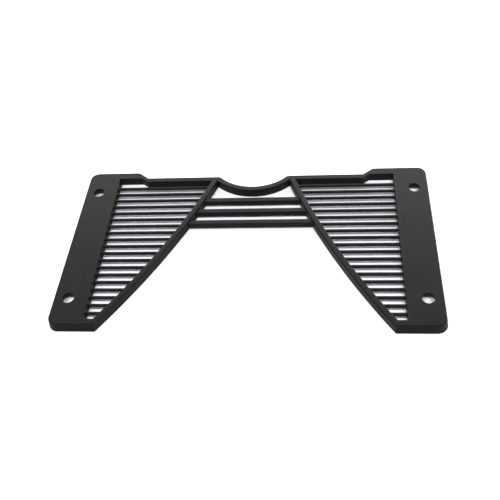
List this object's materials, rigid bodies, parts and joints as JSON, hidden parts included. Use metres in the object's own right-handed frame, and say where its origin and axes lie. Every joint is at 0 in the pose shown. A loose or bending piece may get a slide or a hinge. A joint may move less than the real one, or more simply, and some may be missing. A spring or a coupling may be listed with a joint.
{
  "type": "radiator shroud",
  "caption": "Flat moulded radiator shroud: drilled side plates, triangular louvred wings on curved braces, a centre arch and straight cross bars.",
  "frame": {"origin": "middle of the outline, on the resting edge of the skirt", "axes": "+X across the radiator, +Y towards the edge with the arch, +Z out of the face"},
  "size_m": [0.3, 0.1666, 0.008],
  "materials": {
    "shell": "satin black moulded plastic with a fine grain"
  },
  "bodies": {
    "root": {"shroud": "shell"}
  },
  "joints": []
}
